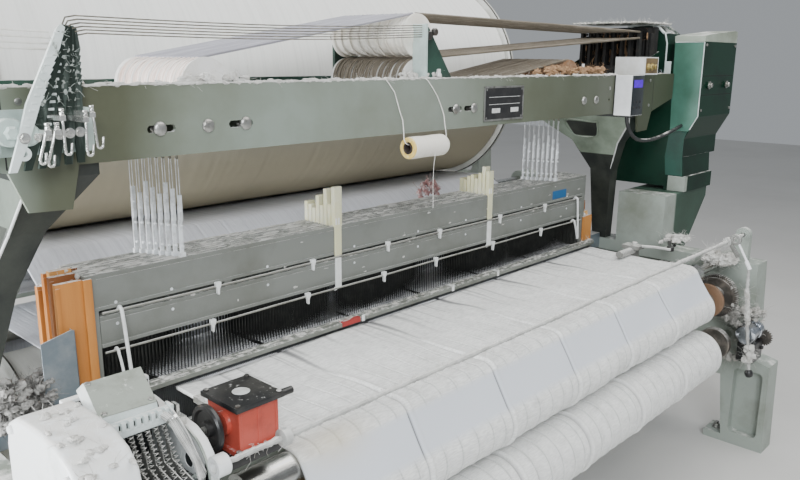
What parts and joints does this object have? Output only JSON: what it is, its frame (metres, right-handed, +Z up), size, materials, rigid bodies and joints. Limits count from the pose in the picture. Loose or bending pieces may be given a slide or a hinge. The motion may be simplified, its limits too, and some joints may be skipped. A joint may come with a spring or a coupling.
{
  "type": "power loom",
  "caption": "Wide power loom for terry towels: heald frames hung from a top beam on cable drums, a dobby at one end, a high pile warp beam behind and a cloth roll in front.",
  "frame": {"origin": "on the floor, in the middle of the machine's width and depth", "axes": "+X across the cloth towards the dobby, +Y from the weaver's side to the warp beams, +Z up"},
  "size_m": [4.12, 2.2999, 2.16],
  "materials": {
    "frame_green": "grey-green machine paint, lint and oil",
    "beam_green": "grey-green machine paint",
    "dark_green": "dark green machine paint",
    "teal": "teal green machine paint",
    "mint": "pale mint paint",
    "steel": "bright steel",
    "dark_iron": "dark oiled iron",
    "heald_alloy": "grey anodised, linty",
    "cream_roller": "cream plastic",
    "pink_roller": "off-white plastic, linty",
    "rust_lint": "plastic under brown lint",
    "cable": "stranded wire in lint",
    "wood": "orange hardwood",
    "terry": "white terry",
    "warp": "white warp yarn",
    "yarn": "wound off-white yarn",
    "red": "red gearbox paint",
    "black": "black paint",
    "white_case": "white plastic",
    "brass_knob": "worn brass",
    "rubber": "black belt",
    "grip": "covered roller"
  },
  "bodies": {
    "root": {"frame_left": "frame_green", "frame_right": "frame_green", "cross_ties": "frame_green", "top_beam": "beam_green", "beam_fittings": "steel", "beam_arms": "dark_green", "pick_counter": "white_case", "switch_box": "white_case", "drum_brackets": "dark_green", "cable_bands": "cable", "lever_bracket": "mint", "heald_guides": "wood", "temples": "dark_iron", "cloth": "terry", "red_gearbox": "red", "selector_housing": "mint", "housing_cover": "frame_green", "warp_sheets": "warp", "drive_motor": "teal", "drive_belt": "rubber", "dobby_gearbox": "dark_green", "dobby_hood": "mint", "yarn_spool": "yarn", "spool_string": "yarn"},
    "heald_frame_1": {"heald_frame_1": "heald_alloy"},
    "heald_frame_2": {"heald_frame_2": "heald_alloy"},
    "heald_frame_3": {"heald_frame_3": "heald_alloy"},
    "heald_frame_4": {"heald_frame_4": "heald_alloy"},
    "heald_frame_5": {"heald_frame_5": "heald_alloy"},
    "heald_frame_6": {"heald_frame_6": "heald_alloy"},
    "heald_frame_7": {"heald_frame_7": "heald_alloy"},
    "heald_frame_8": {"heald_frame_8": "heald_alloy"},
    "sley": {"sley": "heald_alloy", "reed": "steel"},
    "drum_left": {"drum_left": "pink_roller"},
    "drum_low": {"drum_low": "pink_roller"},
    "drum_high": {"drum_high": "cream_roller"},
    "drum_right": {"drum_right": "rust_lint"},
    "dobby_jacks": {"dobby_jacks": "dark_iron"},
    "selector_lever_1": {"selector_lever_1": "mint"},
    "selector_lever_2": {"selector_lever_2": "dark_green"},
    "selector_lever_3": {"selector_lever_3": "dark_green"},
    "selector_lever_4": {"selector_lever_4": "dark_green"},
    "selector_lever_5": {"selector_lever_5": "dark_green"},
    "selector_lever_6": {"selector_lever_6": "dark_green"},
    "breast_roller": {"breast_roller": "steel"},
    "take_up_roller": {"take_up_roller": "grip"},
    "cloth_roll": {"cloth_roll": "terry"},
    "start_bar": {"start_bar": "steel"},
    "handwheel": {"handwheel": "black"},
    "pile_beam": {"pile_beam": "steel", "pile_warp": "yarn"},
    "ground_beam": {"ground_beam": "steel", "ground_warp": "yarn"},
    "pile_roller": {"pile_roller": "steel"},
    "ground_roller": {"ground_roller": "steel"},
    "flywheel": {"flywheel": "dark_iron"},
    "motor_pulley": {"motor_pulley": "dark_iron"},
    "switch_knob_front": {"switch_knob_front": "brass_knob"},
    "switch_knob_rear": {"switch_knob_rear": "brass_knob"}
  },
  "joints": [
    {"name": "heald_frame_1_lift", "type": "slide", "parent": "root", "child": "heald_frame_1", "axis": [0, 0, 1], "range_m": [-0.08, 0.02]},
    {"name": "heald_frame_2_lift", "type": "slide", "parent": "root", "child": "heald_frame_2", "axis": [0, 0, 1], "range_m": [-0.08, 0.02]},
    {"name": "heald_frame_3_lift", "type": "slide", "parent": "root", "child": "heald_frame_3", "axis": [0, 0, 1], "range_m": [-0.08, 0.02]},
    {"name": "heald_frame_4_lift", "type": "slide", "parent": "root", "child": "heald_frame_4", "axis": [0, 0, 1], "range_m": [-0.08, 0.02]},
    {"name": "heald_frame_5_lift", "type": "slide", "parent": "root", "child": "heald_frame_5", "axis": [0, 0, 1], "range_m": [-0.08, 0.02]},
    {"name": "heald_frame_6_lift", "type": "slide", "parent": "root", "child": "heald_frame_6", "axis": [0, 0, 1], "range_m": [-0.08, 0.02]},
    {"name": "heald_frame_7_lift", "type": "slide", "parent": "root", "child": "heald_frame_7", "axis": [0, 0, 1], "range_m": [-0.08, 0.02]},
    {"name": "heald_frame_8_lift", "type": "slide", "parent": "root", "child": "heald_frame_8", "axis": [0, 0, 1], "range_m": [-0.08, 0.02]},
    {"name": "sley_rock", "type": "hinge", "parent": "root", "child": "sley", "pos_m": [0, -0.352, 0.3], "axis": [-1, 0, 0], "range_deg": [0, 4]},
    {"name": "drum_left_turn", "type": "hinge", "parent": "root", "child": "drum_left", "pos_m": [-0.9, -0.4, 1.688], "axis": [0, 1, 0], "range_deg": [-70, 70]},
    {"name": "drum_low_turn", "type": "hinge", "parent": "root", "child": "drum_low", "pos_m": [-0.1, -0.4, 1.688], "axis": [0, 1, 0], "range_deg": [-70, 70]},
    {"name": "drum_high_turn", "type": "hinge", "parent": "root", "child": "drum_high", "pos_m": [-0.1, -0.4, 1.834], "axis": [0, 1, 0], "range_deg": [-75, 75]},
    {"name": "drum_right_turn", "type": "hinge", "parent": "root", "child": "drum_right", "pos_m": [0.85, -0.4, 1.688], "axis": [0, 1, 0], "range_deg": [-70, 70]},
    {"name": "dobby_jacks_swing", "type": "hinge", "parent": "root", "child": "dobby_jacks", "pos_m": [1.5, -0.4, 1.715], "axis": [0, 1, 0], "range_deg": [-26, 7], "deforming": ["cable_bands"]},
    {"name": "selector_lever_1_turn", "type": "hinge", "parent": "root", "child": "selector_lever_1", "pos_m": [-1.425, -0.578, 1.607], "axis": [0, 1, 0], "range_deg": [-3, 3]},
    {"name": "selector_lever_2_turn", "type": "hinge", "parent": "root", "child": "selector_lever_2", "pos_m": [-1.398, -0.566, 1.607], "axis": [0, 1, 0], "range_deg": [-3, 3]},
    {"name": "selector_lever_3_turn", "type": "hinge", "parent": "root", "child": "selector_lever_3", "pos_m": [-1.371, -0.554, 1.607], "axis": [0, 1, 0], "range_deg": [-3, 3]},
    {"name": "selector_lever_4_turn", "type": "hinge", "parent": "root", "child": "selector_lever_4", "pos_m": [-1.344, -0.542, 1.607], "axis": [0, 1, 0], "range_deg": [-3, 3]},
    {"name": "selector_lever_5_turn", "type": "hinge", "parent": "root", "child": "selector_lever_5", "pos_m": [-1.317, -0.53, 1.607], "axis": [0, 1, 0], "range_deg": [-3, 3]},
    {"name": "selector_lever_6_turn", "type": "hinge", "parent": "root", "child": "selector_lever_6", "pos_m": [-1.29, -0.518, 1.607], "axis": [0, 1, 0], "range_deg": [-3, 3]},
    {"name": "breast_roller_turn", "type": "hinge", "parent": "root", "child": "breast_roller", "pos_m": [0, -0.87, 0.862], "axis": [1, 0, 0], "continuous": true},
    {"name": "take_up_roller_turn", "type": "hinge", "parent": "root", "child": "take_up_roller", "pos_m": [0, -0.914, 0.74], "axis": [1, 0, 0], "continuous": true},
    {"name": "cloth_roll_turn", "type": "hinge", "parent": "root", "child": "cloth_roll", "pos_m": [0, -0.945, 0.536], "axis": [1, 0, 0], "continuous": true},
    {"name": "start_bar_turn", "type": "hinge", "parent": "root", "child": "start_bar", "pos_m": [0, -0.96, 1.005], "axis": [1, 0, 0], "range_deg": [-4, 6]},
    {"name": "handwheel_turn", "type": "hinge", "parent": "root", "child": "handwheel", "pos_m": [-1.222, -0.85, 1.024], "axis": [1, 0, 0], "continuous": true},
    {"name": "pile_beam_turn", "type": "hinge", "parent": "root", "child": "pile_beam", "pos_m": [0, 0.64, 1.65], "axis": [1, 0, 0], "continuous": true},
    {"name": "ground_beam_turn", "type": "hinge", "parent": "root", "child": "ground_beam", "pos_m": [0, 0.42, 0.5], "axis": [1, 0, 0], "continuous": true},
    {"name": "pile_roller_turn", "type": "hinge", "parent": "root", "child": "pile_roller", "pos_m": [0, 0.25, 1.12], "axis": [1, 0, 0], "continuous": true},
    {"name": "ground_roller_turn", "type": "hinge", "parent": "root", "child": "ground_roller", "pos_m": [0, 0.62, 0.845], "axis": [1, 0, 0], "continuous": true},
    {"name": "flywheel_turn", "type": "hinge", "parent": "root", "child": "flywheel", "pos_m": [-1.6, -0.04, 0.62], "axis": [1, 0, 0], "continuous": true},
    {"name": "motor_pulley_turn", "type": "hinge", "parent": "root", "child": "motor_pulley", "pos_m": [-1.7, 0.4, 0.33], "axis": [1, 0, 0], "continuous": true},
    {"name": "switch_knob_front_turn", "type": "hinge", "parent": "root", "child": "switch_knob_front", "pos_m": [1.242, -0.55, 1.734], "axis": [0, 1, 0], "range_deg": [0, 90]},
    {"name": "switch_knob_rear_turn", "type": "hinge", "parent": "root", "child": "switch_knob_rear", "pos_m": [1.282, -0.55, 1.734], "axis": [0, 1, 0], "range_deg": [0, 90]}
  ],
  "couplings": [
    {"joint": "drum_left_turn", "follows": "heald_frame_1_lift", "rad_per_m": 14.286},
    {"joint": "drum_high_turn", "follows": "heald_frame_1_lift", "rad_per_m": 15.152},
    {"joint": "drum_low_turn", "follows": "heald_frame_1_lift", "rad_per_m": 14.286},
    {"joint": "drum_right_turn", "follows": "heald_frame_1_lift", "rad_per_m": -14.286},
    {"joint": "dobby_jacks_swing", "follows": "heald_frame_1_lift", "rad_per_m": 5.4945},
    {"joint": "motor_pulley_turn", "follows": "flywheel_turn", "ratio": 3.7097},
    {"joint": "breast_roller_turn", "follows": "take_up_roller_turn", "ratio": 1.681},
    {"joint": "ground_roller_turn", "follows": "take_up_roller_turn", "ratio": 1.1767}
  ]
}
